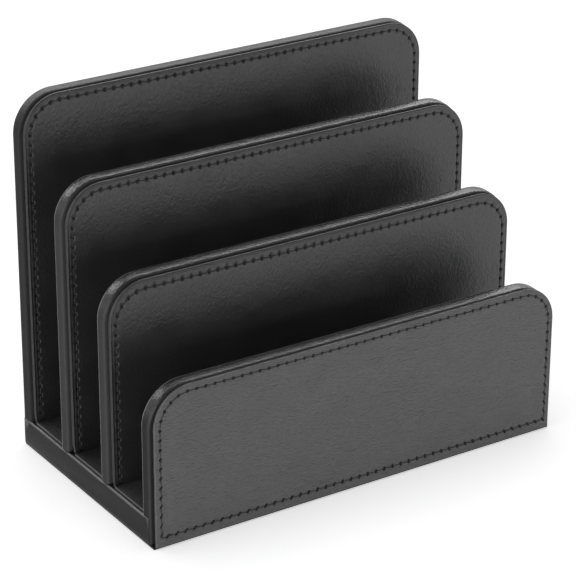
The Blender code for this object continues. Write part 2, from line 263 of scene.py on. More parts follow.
def facing_outline(panel):
    low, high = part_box(panel.name + "_facing")
    corner = TOP_CORNER_RADIUS - (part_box(panel.name + "_wrap")[1].x - high.x)
    foot_share = SEWN_FOOT_SHARE if panel.sewn_foot else PLAIN_FOOT_SHARE
    return make_outline(high.x, low.z, high.z, corner, FACING_FOOT_RADIUS, foot_share)


def seam_outline(panel):
    """The facing's outline moved in to the seam's own distances from the side and from the top."""
    plain = facing_outline(panel)
    return plain._replace(half_width=plain.half_width - panel.seam_side, top=plain.top - panel.seam_top)


def make_wrap(panel, materials):
    """The leather tray over a panel's back, its edges and a lip of its front."""
    low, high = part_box(panel.name + "_wrap")
    near = low.y
    far = high.y
    inner_front = FRONT_EDGE_RADIUS - WRAP_LEATHER
    inner_rear = REAR_EDGE_RADIUS - WRAP_LEATHER
    profile = rounded_edge(far, REAR_EDGE_RADIUS, 1, EDGE_STEPS)[::-1]
    profile += crowned_front(near, far - REAR_EDGE_RADIUS)
    profile += [(WRAP_LIP, near), (WRAP_LIP, near + WRAP_LEATHER)]
    profile += rounded_edge(near + WRAP_LEATHER, inner_front, -1, INNER_EDGE_STEPS, WRAP_LEATHER)[::-1]
    profile += rounded_edge(far - WRAP_LEATHER, inner_rear, 1, INNER_EDGE_STEPS, WRAP_LEATHER)
    mesh_data = bmesh.new()
    rings = loft(mesh_data, wrap_outline(panel), profile)
    mesh_data.faces.new(rings[0])
    mesh_data.faces.new(rings[-1])
    for vertex in mesh_data.verts:
        height = (vertex.co.z - low.z) / (high.z - low.z)
        depth = (vertex.co.y - near) / (far - near)
        vertex.co.y -= panel.thinning * height * depth
    name = panel.name + "_wrap_leather"
    if panel.name in ("front", "back"):
        cutters = [notch_cutter("left_notch_cutter", -1), notch_cutter("right_notch_cutter", 1)]
        mesh_data = carve(mesh_data, cutters)
    finish = materials.get(panel.name + "_wrap", materials["wrap"])
    return finish_piece(mesh_data, name, finish, [panel.name + "_wrap"])


def seam_line(panel):
    """The seam as (x, z) points, the running length at each, and its first point's place in an outline."""
    points = outline_points(seam_outline(panel), STITCH_INSET)
    first = 0
    if panel.sewn_foot:
        points.append(points[0])
    else:
        first = FOOT_CORNER_STEPS
        uprights = [index for index, point in enumerate(points) if point[0] < 0.0]
        foot = points[first][1]
        last = [index for index in uprights if points[index][1] >= foot][-1]
        points = points[first:last + 1]
    lengths = [0.0]
    for start, end in zip(points, points[1:]):
        lengths.append(lengths[-1] + math.dist(start, end))
    return points, lengths, first


def point_along(points, lengths, along):
    """The (x, z) point at a running length, and the direction there."""
    low = 0
    high = len(points) - 1
    while high - low > 1:
        middle = (low + high) // 2
        if lengths[middle] <= along:
            low = middle
        else:
            high = middle
    span = lengths[high] - lengths[low]
    share = (along - lengths[low]) / span
    across = points[high][0] - points[low][0]
    up = points[high][1] - points[low][1]
    return (points[low][0] + across * share, points[low][1] + up * share), (across / span, up / span)


def stitch_pitch(lengths):
    """The distance from needle hole to needle hole that fits a whole number of times."""
    return lengths[-1] / round(lengths[-1] / STITCH_LENGTH)


def bell(distance, width):
    return math.exp(-((distance / width) ** 2))


def pull_foot(mesh_data, panel):
    """Draws a facing's foot corners in, where it slips down behind the lining."""
    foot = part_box(panel.name + "_facing")[0].z
    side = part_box(panel.name + "_facing")[1].x
    for vertex in mesh_data.verts:
        share = max(0.0, 1.0 - (vertex.co.z - foot) / FOOT_PULL_HEIGHT)
        vertex.co.x -= panel.foot_pull * share ** 2 * vertex.co.x / side


def make_facing(panel, materials):
    """The stitched facing: turned edge, crease line, sewn channel and needle holes."""
    low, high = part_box(panel.name + "_facing")
    front = low.y
    back = high.y
    points, lengths, first = seam_line(panel)
    pitch = stitch_pitch(lengths)
    profile = [(FACING_LEATHER, front + FACING_LEATHER), (FACING_LEATHER, back)]
    profile += rounded_edge(back, FACING_EDGE_RADIUS, 1, FACING_REAR_STEPS)[::-1]
    profile += rounded_edge(front, FACING_EDGE_RADIUS, -1, FACING_FRONT_STEPS)
    profile += [(CREASE_INSET + CREASE_HALF_WIDTH * share, front) for share in CREASE_RING_SHARES]
    sewn = [(STITCH_INSET + HOLE_RADIUS * share, front) for share in HOLE_RING_SHARES]
    mesh_data = bmesh.new()
    holes = mesh_data.verts.layers.float.new("needle_hole")
    rings = loft(mesh_data, facing_outline(panel), profile)
    sewn_rings = loft(mesh_data, seam_outline(panel), sewn)
    join_rings(mesh_data, rings[-1], sewn_rings[0])
    profile += sewn
    rings += sewn_rings
    for (inset, place), ring in zip(profile, rings):
        if place > front:
            continue
        crease = CREASE_DEPTH * bell(inset - CREASE_INSET, CREASE_HALF_WIDTH / 2)
        channel = CHANNEL_DEPTH * bell(inset - STITCH_INSET, CHANNEL_HALF_WIDTH)
        for index, vertex in enumerate(ring):
            vertex.co.y += crease
            if not first <= index < first + len(points):
                continue
            nearest = lengths[index - first] % pitch
            nearest = min(nearest, pitch - nearest)
            hole = bell(math.hypot(nearest, inset - STITCH_INSET), HOLE_RADIUS)
            vertex.co.y += channel + HOLE_DEPTH * hole
            vertex[holes] = hole
    mesh_data.faces.new(rings[0])
    mesh_data.faces.new(rings[-1])
    pull_foot(mesh_data, panel)
    name = panel.name + "_facing_leather"
    finish = "front_facing" if panel.name == "front" else "inner_facing"
    return finish_piece(mesh_data, name, materials[finish], [panel.name + "_facing"])


def add_stitch(mesh_data, points, lengths, start, end, surface):
    """One stitch: a twisted thread that comes up through one needle hole and goes down through the next."""
    previous = None
    for step in range(STITCH_STEPS + 1):
        share = step / STITCH_STEPS
        (x, z), direction = point_along(points, lengths, start + (end - start) * share)
        rise = THREAD_PROUD - (THREAD_PROUD + THREAD_DIP) * abs(2 * share - 1) ** THREAD_DIP_POWER
        centre = surface - rise + THREAD_RADIUS
        twist = 2 * math.pi * THREAD_TURNS * share
        ring = []
        for side in range(THREAD_SIDES):
            angle = 2 * math.pi * side / THREAD_SIDES
            radius = THREAD_RADIUS * (1 + THREAD_LOBE_SHARE * math.cos(THREAD_PLIES * angle - twist))
            aside = radius * math.cos(angle)
            out = radius * math.sin(angle)
            ring.append((x + direction[1] * aside, centre - out, z - direction[0] * aside))
        ring = add_ring(mesh_data, ring)
        if previous:
            join_rings(mesh_data, previous, ring)
        else:
            mesh_data.faces.new(ring)
        previous = ring
    mesh_data.faces.new(previous)


def make_stitches(panel, materials):
    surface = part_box(panel.name + "_facing")[0].y
    points, lengths = seam_line(panel)[:2]
    pitch = stitch_pitch(lengths)
    mesh_data = bmesh.new()
    for number in range(round(lengths[-1] / pitch)):
        add_stitch(mesh_data, points, lengths, number * pitch, (number + 1) * pitch, surface)
    pull_foot(mesh_data, panel)
    name = panel.name + "_stitches"
    nodes = [panel.name + "_thread"]
    return finish_piece(mesh_data, name, materials["thread"], nodes, STITCH_SHARP_DEGREES)


def add_prism(mesh_data, points, start, end, axis="X"):
    """Adds a closed outline extruded along X or, with (x, z) points, along Y."""
    rings = []
    for place in (start, end):
        if axis == "X":
            rings.append(add_ring(mesh_data, [(place, along, up) for along, up in points]))
        else:
            rings.append(add_ring(mesh_data, [(across, place, up) for across, up in points]))
    join_rings(mesh_data, rings[0], rings[1])
    mesh_data.faces.new(rings[0])
    mesh_data.faces.new(rings[1])


def make_cutter(name, points, start, end, axis="X"):
    mesh_data = bmesh.new()
    add_prism(mesh_data, points, start, end, axis)
    bmesh.ops.recalc_face_normals(mesh_data, faces=mesh_data.faces)
    mesh = bpy.data.meshes.new(name)
    mesh_data.to_mesh(mesh)
    mesh_data.free()
    cutter = bpy.data.objects.new(name, mesh)
    bpy.context.scene.collection.objects.link(cutter)
    return cutter


def carve(mesh_data, cutters, operation="DIFFERENCE", soft_edge=0.0):
    """Cuts a mesh with the cutters, which are used up, and can then soften its sharp edges."""
    bmesh.ops.recalc_face_normals(mesh_data, faces=mesh_data.faces)
    mesh = bpy.data.meshes.new("carved")
    mesh_data.to_mesh(mesh)
    mesh_data.free()
    item = bpy.data.objects.new("carved", mesh)
    bpy.context.scene.collection.objects.link(item)
    for cutter in cutters:
        modifier = item.modifiers.new(cutter.name, "BOOLEAN")
        modifier.operation = operation
        modifier.solver = "EXACT"
        modifier.object = cutter
    if soft_edge > 0.0:
        modifier = item.modifiers.new("soft_edges", "BEVEL")
        modifier.width = soft_edge
        modifier.segments = SOFT_EDGE_STEPS
        modifier.limit_method = "ANGLE"
        modifier.angle_limit = math.radians(SHARP_DEGREES)
    bpy.context.view_layer.update()
    finished = item.evaluated_get(bpy.context.evaluated_depsgraph_get())
    carved = bmesh.new()
    carved.from_mesh(finished.to_mesh())
    finished.to_mesh_clear()
    for used in [item] + cutters:
        old = used.data
        bpy.data.objects.remove(used, do_unlink=True)
        bpy.data.meshes.remove(old)
    return carved


def strip_side_outline(grow, rise):
    """The (y, z) outline of a side strip, grown along its length and raised above."""
    low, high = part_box("base_strip_left")
    start = low.y - grow
    end = high.y + grow
    top = high.z + rise
    return [(start, -OVERRUN), (end, -OVERRUN), (end, top), (start, top)]


def notch_cutter(name, side):
    """Takes an end panel's wrap away where a side strip is glued on."""
    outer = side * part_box("base_strip_right")[1].x
    inner = outer - side * (WRAP_LEATHER + GLUE_GAP / 2)
    return make_cutter(name, strip_side_outline(GLUE_GAP / 2, GLUE_GAP), inner, outer + side * OVERRUN)


def strip_section(side):
    """The (x, z) section of a side strip: a wall with a lip turned in above and one below."""
    low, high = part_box("base_strip_right")
    outer = high.x
    foot = low.z
    top = high.z + STRIP_RISE
    radius = BASE_FOOT_RADIUS
    inner = SMALLEST_RADIUS
    wall = outer - WRAP_LEATHER
    roof = top - WRAP_LEATHER
    points = [(outer - STRIP_BOTTOM_LIP, foot)]
    points += arc((outer - radius, foot + radius), radius, -90, 0, STRIP_EDGE_STEPS)
    points += arc((outer - inner, top - inner), inner, 0, 90, INNER_EDGE_STEPS)
    points += [(outer - STRIP_TOP_LIP, top), (outer - STRIP_TOP_LIP, roof)]
    points += arc((wall - inner, roof - inner), inner, 90, 0, INNER_EDGE_STEPS)
    points += arc((wall - inner, foot + WRAP_LEATHER + inner), inner, 0, -90, INNER_EDGE_STEPS)
    points += [(outer - STRIP_BOTTOM_LIP, foot + WRAP_LEATHER)]
    return [(side * across, up) for across, up in points]


def edge_cutter(name, side, panel, next_panel):
    """Rounds a strip's upper edge in the slot behind a panel."""
    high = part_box("base_strip_right")[1]
    radius = BASE_EDGE_RADIUS
    top = high.z + STRIP_RISE
    points = arc((high.x - radius, top - radius), radius, 0, 90, STRIP_EDGE_STEPS)
    points.append((high.x - radius, top + OVERRUN))
    points.append((high.x + OVERRUN, top + OVERRUN))
    points.append((high.x + OVERRUN, top - radius))
    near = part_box(panel.name + "_wrap")[1].y - REAR_EDGE_RADIUS
    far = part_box(next_panel.name + "_wrap")[0].y + FRONT_EDGE_RADIUS
    return make_cutter(name, [(side * across, up) for across, up in points], near, far, "Y")


def tab_cutter(name, side, near, far):
    """Thins a strip to a tab where it is let into an end panel."""
    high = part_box("base_strip_right")[1]
    deep = side * (high.x - STRIP_TAB_THICKNESS)
    outline = [(near, -OVERRUN), (far, -OVERRUN), (far, high.z + OVERRUN), (near, high.z + OVERRUN)]
    return make_cutter(name, outline, 0.0, deep)


def make_strip(side, label, materials):
    """The leather strip along a side of the base, with a thin tab let into each end panel."""
    low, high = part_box("base_strip_" + label)
    mesh_data = bmesh.new()
    add_prism(mesh_data, strip_section(side), low.y - OVERRUN, high.y + OVERRUN, "Y")
    deep = side * (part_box("base_strip_right")[1].x - STRIP_TOP_LIP - OVERRUN)
    clear = side * (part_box("base_strip_right")[1].x + OVERRUN)
    ends = make_cutter(label + "_ends", strip_side_outline(0.0, OVERRUN), deep, clear)
    mesh_data = carve(mesh_data, [ends], "INTERSECT")
    cutters = []
    for panel, next_panel in zip(PANELS, PANELS[1:]):
        cutters.append(edge_cutter(f"{label}_{panel.name}_edge", side, panel, next_panel))
    base_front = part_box("front_wrap")[1].y + GLUE_GAP
    base_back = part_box("back_wrap")[0].y - GLUE_GAP
    cutters.append(tab_cutter(label + "_front_tab", side, low.y - OVERRUN, base_front))
    cutters.append(tab_cutter(label + "_rear_tab", side, base_back, high.y + OVERRUN))
    mesh_data = carve(mesh_data, cutters, soft_edge=STRIP_SOFT_EDGE)
    name = "base_strip_leather_" + label
    nodes = ["base_strip_" + label]
    return finish_piece(mesh_data, name, materials["strip"], nodes, STRIP_SHARP_DEGREES)


def make_sheet(name, node_name, radius, material, reach, below, above):
    """A sheet with softly rounded edges in the place of a CAD box, with small reaches past its faces."""
    low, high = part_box(node_name)
    low -= Vector((reach[0], reach[1], below))
    high += Vector((reach[0], reach[1], above))
    mesh_data = bmesh.new()
    bmesh.ops.create_cube(mesh_data, size=1.0)
    size = high - low
    middle = (high + low) / 2
    for vertex in mesh_data.verts:
        vertex.co = Vector([part * length + centre for part, length, centre in zip(vertex.co, size, middle)])
    edges = mesh_data.edges[:]
    bmesh.ops.bevel(
        mesh_data, geom=edges, offset=radius, segments=SHEET_EDGE_STEPS, profile=0.5, affect="EDGES"
    )
    return finish_piece(mesh_data, name, material, [node_name])


def add_node(tree, kind, links=(), **settings):
    """Adds a node. Settings are properties or, with _ for a space, inputs. Links are (input, socket)."""
    made = tree.nodes.new(kind)
    for key, value in settings.items():
        if hasattr(made, key):
            setattr(made, key, value)
    for key, value in settings.items():
        if not hasattr(made, key):
            made.inputs[key.replace("_", " ")].default_value = value
    for key, source in links:
        tree.links.new(source, made.inputs[key])
    return made


def ramp(tree, value, start, end, low=0.0, high=1.0):
    """A value that goes smoothly from low to high while its input goes from start to end."""
    made = add_node(
        tree,
        "ShaderNodeMapRange",
        [("Value", value)],
        interpolation_type="SMOOTHSTEP",
        From_Min=start,
        From_Max=end,
        To_Min=low,
        To_Max=high,
    )
    return made.outputs["Result"]


def combine(tree, operation, first, second):
    """A Math node on two sockets, or on a socket and a number."""
    made = add_node(tree, "ShaderNodeMath", [(0, first)], operation=operation)
    if isinstance(second, (int, float)):
        made.inputs[1].default_value = second
    else:
        tree.links.new(second, made.inputs[1])
    return made.outputs[0]


def blend_colours(tree, share, first, second):
    """Mixes two colours or colour sockets."""
    made = add_node(tree, "ShaderNodeMix", [("Factor", share)], data_type="RGBA")
    for key, colour in (("A", first), ("B", second)):
        socket = [item for item in made.inputs if item.name == key and item.type == "RGBA"][0]
        if isinstance(colour, tuple):
            socket.default_value = (*colour, 1.0)
        else:
            tree.links.new(colour, socket)
    return [item for item in made.outputs if item.type == "RGBA"][0]


def new_material(name):
    material = bpy.data.materials.new(name)
    material.use_nodes = True
    return material, material.node_tree, material.node_tree.nodes["Principled BSDF"]


def scaled_place(tree, cell):
    """The place on the object, counted in cells of the given (x, y, z) size."""
    coordinates = add_node(tree, "ShaderNodeTexCoord")
    scale = tuple(1.0 / size for size in cell)
    mapping = add_node(tree, "ShaderNodeMapping", [("Vector", coordinates.outputs["Object"])], Scale=scale)
    return mapping.outputs["Vector"]


def noise_texture(tree, cell, detail=3.0, distortion=0.0):
    made = add_node(
        tree,
        "ShaderNodeTexNoise",
        [("Vector", scaled_place(tree, cell))],
        Scale=1.0,
        Detail=detail,
        Distortion=distortion,
    )
    return made.outputs["Fac"]


# Leather grain: how far pebble borders wander, in cells, and how round the pebbles are
PEBBLE_WANDER_CELLS = 1.3
PEBBLE_WANDER_SCALE = 0.8
PEBBLE_ROUNDNESS = 0.7


def pebble_texture(tree, cell):
    """Rounded pebbles whose borders wander."""
    place = scaled_place(tree, cell)
    wander = add_node(tree, "ShaderNodeTexNoise", [("Vector", place)], Scale=PEBBLE_WANDER_SCALE, Detail=2.0)
    spread = add_node(
        tree,
        "ShaderNodeVectorMath",
        [(0, wander.outputs["Color"]), (2, place)],
        operation="MULTIPLY_ADD",
    )
    spread.inputs[1].default_value = (PEBBLE_WANDER_CELLS,) * 3
    made = add_node(
        tree,
        "ShaderNodeTexVoronoi",
        [("Vector", spread.outputs["Vector"])],
        feature="SMOOTH_F1",
        Scale=1.0,
        Smoothness=PEBBLE_ROUNDNESS,
    )
    return made.outputs["Distance"]


def add_bump(tree, height, depth, strength, below=None):
    links = [("Height", height)]
    if below:
        links.append(("Normal", below))
    made = add_node(tree, "ShaderNodeBump", links, Strength=strength, Distance=depth)
    return made.outputs["Normal"]


Looks = namedtuple("Looks", "sideways depthwise rearward upward")


def surface_looks(tree):
    """How far the surface looks to a side, to front or rear, to the rear alone, and up."""
    coordinates = add_node(tree, "ShaderNodeTexCoord")
    parts = add_node(tree, "ShaderNodeSeparateXYZ", [(0, coordinates.outputs["Normal"])]).outputs
    sideways = combine(tree, "ABSOLUTE", parts["X"], 0.0)
    depthwise = combine(tree, "ABSOLUTE", parts["Y"], 0.0)
    return Looks(sideways, depthwise, parts["Y"], parts["Z"])


def band(tree, value, start, full, leave, end):
    """1 while a value lies between full and leave, falling to 0 at start and end."""
    rise = ramp(tree, value, start, full)
    return combine(tree, "MULTIPLY", rise, ramp(tree, value, leave, end, 1.0, 0.0))


# The crease and pebble fields hold the sizes of one crease and one pebble along X, Y and Z.
Leather = namedtuple("Leather", "dark light roughness pebble pebble_depth crease crease_depth")

# What all leathers share. A range is (start, end) of what it is read from.
SWELL_SIZE = 9.0 * MM
SWELL_DEPTH = 0.25 * MM
SWELL_STRENGTH = 0.5
CREASE_DISTORTION = 0.6
CLOUD_SIZE = 14.0 * MM
CLOUD_COLOUR_RANGE = (0.3, 0.7)
CLOUD_GLOSS_RANGE = (0.25, 0.75)
DENT_RANGE = (0.35, 0.75)
DENT_DARK_SHARE = 0.5
DENT_DULL_SHARE = 0.1
ROUGHNESS_SPREAD = 0.05


def make_leather(name, style):
    """Leather: clouded colour, pebbled and creased grain, and gloss that is duller in the grain."""
    material, tree, shader = new_material(name)
    pebbles = pebble_texture(tree, style.pebble)
    creases = noise_texture(tree, style.crease, detail=4.0, distortion=CREASE_DISTORTION)
    swells = noise_texture(tree, (SWELL_SIZE,) * 3, detail=1.0)
    normal = add_bump(tree, swells, SWELL_DEPTH, SWELL_STRENGTH)
    normal = add_bump(tree, creases, style.crease_depth, 1.0, normal)
    normal = add_bump(tree, pebbles, style.pebble_depth, 1.0, normal)
    tree.links.new(normal, shader.inputs["Normal"])
    clouds = noise_texture(tree, (CLOUD_SIZE,) * 3, detail=4.0)
    colour = blend_colours(tree, ramp(tree, clouds, *CLOUD_COLOUR_RANGE), style.dark, style.light)
    dents = ramp(tree, pebbles, *DENT_RANGE)
    colour = blend_colours(tree, combine(tree, "MULTIPLY", dents, DENT_DARK_SHARE), colour, style.dark)
    tree.links.new(colour, shader.inputs["Base Color"])
    smoothest = style.roughness - ROUGHNESS_SPREAD
    dullest = style.roughness + ROUGHNESS_SPREAD
    gloss = ramp(tree, clouds, *CLOUD_GLOSS_RANGE, smoothest, dullest)
    gloss = combine(tree, "ADD", gloss, combine(tree, "MULTIPLY", dents, DENT_DULL_SHARE))
    tree.links.new(gloss, shader.inputs["Roughness"])
    return material


def mix_numbers(tree, share, first, second):
    """Mixes a socket with a number by a share between 0 and 1."""
    links = [("Factor", share), ("A", first)]
    made = add_node(tree, "ShaderNodeMix", links, data_type="FLOAT", clamp_factor=True)
    made.inputs["B"].default_value = second
    return made.outputs["Result"]


def source_of(socket):
    return socket.links[0].from_socket


# Gloss
FACING_SPECULAR = 0.75
WRAP_SPECULAR = 0.45
BACK_WRAP_SPECULAR = 0.25

# Where painted highlights, painted shade, wear and dye show, by how far a surface looks a certain way: 0 is
# not at all and 1 is straight.
# A range is (start, end) and a band (start, full, leave, end).
RIM_BAND = (0.05, 0.2, 0.75, 0.97)
RIM_TOP_RANGE = (0.0, 0.5)
RIM_SIDE_SHARE = 0.15
RIM_ROUGHNESS = 0.3
CUT_EDGE_RANGE = (0.02, 0.12)
# The cut edge is painted dark as edge dye and painted shade; side rims and needle holes are painted dark as
# painted shade.
SIDE_RIM_RANGE = (0.5, 0.95)
SIDE_RIM_TOP_RANGE = (0.1, 0.5)
NEEDLE_HOLE_RANGE = (0.2, 0.5)
DARKENED_ROUGHNESS = 0.95
FRONT_EDGE_BAND = (0.06, 0.2, 0.4, 0.65)
FRONT_BEVEL_BAND = (0.45, 0.65, 0.9, 0.99)
REAR_EDGE_BAND = (0.1, 0.3, 0.8, 0.95)
# A painted highlight along the rear rounding, as a grey level
REAR_EDGE_HIGHLIGHT = 0.2
POLISH_TOP_RANGE = (0.0, 0.5)
SIDE_POLISH_SHARE = 0.4
WRAP_TOP_RANGE = (0.1, 0.6)
WRAP_SIDE_RANGE = (0.6, 0.95)
STRIP_EDGE_BAND = (0.05, 0.25, 0.85, 0.99)
STRIP_EDGE_ROUGHNESS = 0.3
LINING_FACE_RANGE = (0.75, 0.97)
LINING_EDGE_ROUGHNESS = 0.4
SOLE_SIDE_RANGE = (0.3, 0.9)
PATCH_SIZE = 6.0 * MM
PATCH_RANGE = (0.2, 0.6)
PATCH_LEAST_SHARE = 0.6
GRAIN_RANGE = (0.3, 0.7)


def make_facing_leather(name, style, dye_and_shade, side_rim_shade):
    """Leather with a dull cut edge painted dark, as edge dye and painted shade of the groove, side rims
    darkened as painted shade, needle holes painted dark as painted shade, and a rim polished smooth.
    """
    material = make_leather(name, style)
    tree = material.node_tree
    shader = tree.nodes["Principled BSDF"]
    looks = surface_looks(tree)
    edges = band(tree, looks.depthwise, *RIM_BAND)
    edges = combine(tree, "MULTIPLY", edges, ramp(tree, looks.upward, *RIM_TOP_RANGE, RIM_SIDE_SHARE))
    # Edge dye and painted shade: the cut edge, which lies in the groove beside the wrap, is painted dark.
    wall = ramp(tree, looks.depthwise, *CUT_EDGE_RANGE, 1.0, 0.0)
    # Painted shade: the needle holes are painted dark.
    holes = add_node(tree, "ShaderNodeAttribute", attribute_name="needle_hole").outputs["Fac"]
    # Painted shade: the side rims are darkened, by the share given for them.
    side_rim = ramp(tree, looks.depthwise, *SIDE_RIM_RANGE, side_rim_shade, 0.0)
    side_rim = combine(tree, "MULTIPLY", side_rim, ramp(tree, looks.upward, *SIDE_RIM_TOP_RANGE, 1.0, 0.0))
    dark = combine(tree, "MAXIMUM", wall, ramp(tree, holes, *NEEDLE_HOLE_RANGE))
    dark = combine(tree, "MAXIMUM", dark, side_rim)
    colour = blend_colours(tree, dark, source_of(shader.inputs["Base Color"]), dye_and_shade)
    tree.links.new(colour, shader.inputs["Base Color"])
    roughness = mix_numbers(tree, edges, source_of(shader.inputs["Roughness"]), RIM_ROUGHNESS)
    roughness = mix_numbers(tree, dark, roughness, DARKENED_ROUGHNESS)
    tree.links.new(roughness, shader.inputs["Roughness"])
    shader.inputs["Specular IOR Level"].default_value = FACING_SPECULAR
    return material


def patchy(tree, share):
    """Lets a painted highlight, and on the wraps also real scuffs, come and go along an edge."""
    patches = noise_texture(tree, (PATCH_SIZE,) * 3)
    return combine(tree, "MULTIPLY", share, ramp(tree, patches, *PATCH_RANGE, PATCH_LEAST_SHARE))


# The first field is the colour painted on the rounded edges, which is painted highlight and wear; the rest
# are roughness and gloss.
WearAndHighlight = namedtuple("WearAndHighlight", "worn worn_roughness dull_roughness gloss")


def make_wrap_leather(name, style, wear_and_highlight):
    """Leather with rounded edges painted lighter, as painted highlight and edge scuffs, and made smoother, a
    painted highlight along the rear rounding, a smooth top and dull upright sides.
    """
    material = make_leather(name, style)
    tree = material.node_tree
    shader = tree.nodes["Principled BSDF"]
    looks = surface_looks(tree)
    edges = band(tree, looks.depthwise, *FRONT_EDGE_BAND)
    rear = band(tree, looks.rearward, *REAR_EDGE_BAND)
    # Painted highlight and wear: the rounded edges are painted lighter.
    colour = blend_colours(tree, patchy(tree, edges), source_of(shader.inputs["Base Color"]), wear_and_highlight.worn)
    # Painted highlight: the rear rounding is painted much lighter.
    colour = blend_colours(tree, patchy(tree, rear), colour, grey(REAR_EDGE_HIGHLIGHT))
    tree.links.new(colour, shader.inputs["Base Color"])
    polish = ramp(tree, looks.upward, *POLISH_TOP_RANGE, SIDE_POLISH_SHARE)
    smooth = combine(tree, "MAXIMUM", combine(tree, "MULTIPLY", edges, polish), rear)
    smooth = combine(tree, "MAXIMUM", ramp(tree, looks.upward, *WRAP_TOP_RANGE), smooth)
    roughness = mix_numbers(tree, smooth, source_of(shader.inputs["Roughness"]), wear_and_highlight.worn_roughness)
    dull = combine(tree, "SUBTRACT", ramp(tree, looks.sideways, *WRAP_SIDE_RANGE), smooth)
    roughness = mix_numbers(tree, dull, roughness, wear_and_highlight.dull_roughness)
    bevel = band(tree, combine(tree, "MULTIPLY", looks.rearward, -1.0), *FRONT_BEVEL_BAND)
    roughness = mix_numbers(tree, bevel, roughness, wear_and_highlight.dull_roughness)
    tree.links.new(roughness, shader.inputs["Roughness"])
    shader.inputs["Specular IOR Level"].default_value = wear_and_highlight.gloss
    return material


def paint_strip_highlights(material, foot, worn):
    """Lightens a base strip's rounded upper edge, a painted highlight, and the band along its foot, a
    painted reflection of the floor.
    """
    tree = material.node_tree
    shader = tree.nodes["Principled BSDF"]
    place = add_node(tree, "ShaderNodeTexCoord").outputs["Object"]
    height = add_node(tree, "ShaderNodeSeparateXYZ", [(0, place)]).outputs["Z"]
    # Painted highlight on the rounded upper edge and painted reflection of the floor along the foot, both as
    # lighter colour.
    upper = band(tree, surface_looks(tree).upward, *STRIP_EDGE_BAND)
    lower = ramp(tree, height, foot, foot + FOOT_REFLECTION_HEIGHT, FOOT_REFLECTION_SHARE, 0.0)
    highlight_mask = patchy(tree, combine(tree, "MAXIMUM", upper, lower))
    colour = blend_colours(tree, highlight_mask, source_of(shader.inputs["Base Color"]), worn)
    tree.links.new(colour, shader.inputs["Base Color"])
    roughness = mix_numbers(tree, upper, source_of(shader.inputs["Roughness"]), STRIP_EDGE_ROUGHNESS)
    tree.links.new(roughness, shader.inputs["Roughness"])
    return material


def paint_lining_edge_highlights(material, worn):
    """Lightens and smooths the cut edges of a lining; the lighter colour is a painted highlight."""
    tree = material.node_tree
    shader = tree.nodes["Principled BSDF"]
    # Painted highlight: the cut edges are painted lighter.
    highlight_mask = ramp(tree, surface_looks(tree).upward, *LINING_FACE_RANGE, 1.0, 0.0)
    colour = blend_colours(tree, highlight_mask, source_of(shader.inputs["Base Color"]), worn)
    tree.links.new(colour, shader.inputs["Base Color"])
    roughness = mix_numbers(tree, highlight_mask, source_of(shader.inputs["Roughness"]), LINING_EDGE_ROUGHNESS)
    tree.links.new(roughness, shader.inputs["Roughness"])
    return material


Plain = namedtuple("Plain", "dark light roughness cell depth")


def make_plain(name, style, metallic=0.0):
    """A fine-grained material for thread, felt, card, board and steel."""
    material, tree, shader = new_material(name)
    grains = noise_texture(tree, style.cell, detail=6.0)
    normal = add_bump(tree, grains, style.depth, 1.0)
    tree.links.new(normal, shader.inputs["Normal"])
    colour = blend_colours(tree, ramp(tree, grains, *GRAIN_RANGE), style.dark, style.light)
    tree.links.new(colour, shader.inputs["Base Color"])
    dullest = style.roughness + ROUGHNESS_SPREAD
    smoothest = style.roughness - ROUGHNESS_SPREAD
    gloss = ramp(tree, grains, *GRAIN_RANGE, dullest, smoothest)
    tree.links.new(gloss, shader.inputs["Roughness"])
    shader.inputs["Metallic"].default_value = metallic
    return material


def paint_sole_side_reflections(material, worn):
    """Lightens the sole's edges at the two sides, a painted reflection of the floor."""
    tree = material.node_tree
    shader = tree.nodes["Principled BSDF"]
    # Painted reflection of the floor: the side edges are painted lighter.
    highlight_mask = patchy(tree, ramp(tree, surface_looks(tree).sideways, *SOLE_SIDE_RANGE))
    colour = blend_colours(tree, highlight_mask, source_of(shader.inputs["Base Color"]), worn)
    tree.links.new(colour, shader.inputs["Base Color"])
    return material


BLUE_TRACE = 1.01
BOARD_BROWN = (0.30, 0.20, 0.12)
PALE_BOARD_BROWN = (0.38, 0.26, 0.16)
CARD_GREY = (0.26, 0.25, 0.23)
PALE_CARD_GREY = (0.32, 0.31, 0.29)


def cells(*millimetres):
    return tuple(size * MM for size in millimetres)


def grey(level):
    """A grey with a trace of blue."""
    return (level, level, level * BLUE_TRACE)


def make_facing_materials():
    # The facings are one leather. The front one is painted about three times lighter, a painted lit copy;
    # the inner ones keep the darker colour.
    front = Leather(
        dark=grey(0.145),
        light=grey(0.180),
        roughness=0.5,
        pebble=cells(1.3, 0.8, 0.65),
        pebble_depth=0.35 * MM,
        crease=cells(2.4, 1.0, 0.6),
        crease_depth=0.40 * MM,
    )
    inner = Leather(
        dark=grey(0.046),
        light=grey(0.057),
        roughness=0.33,
        pebble=cells(0.9, 0.8, 1.1),
        pebble_depth=0.08 * MM,
        crease=cells(1.0, 1.0, 2.4),
        crease_depth=0.08 * MM,
    )
    return {
        # The dark colours are painted shade, and on the cut edge also edge dye.
        "front_facing": make_facing_leather("facing_leather_front", front, dye_and_shade=grey(0.010), side_rim_shade=0.0),
        "inner_facing": make_facing_leather("facing_leather_inner", inner, dye_and_shade=grey(0.018), side_rim_shade=0.7),
    }


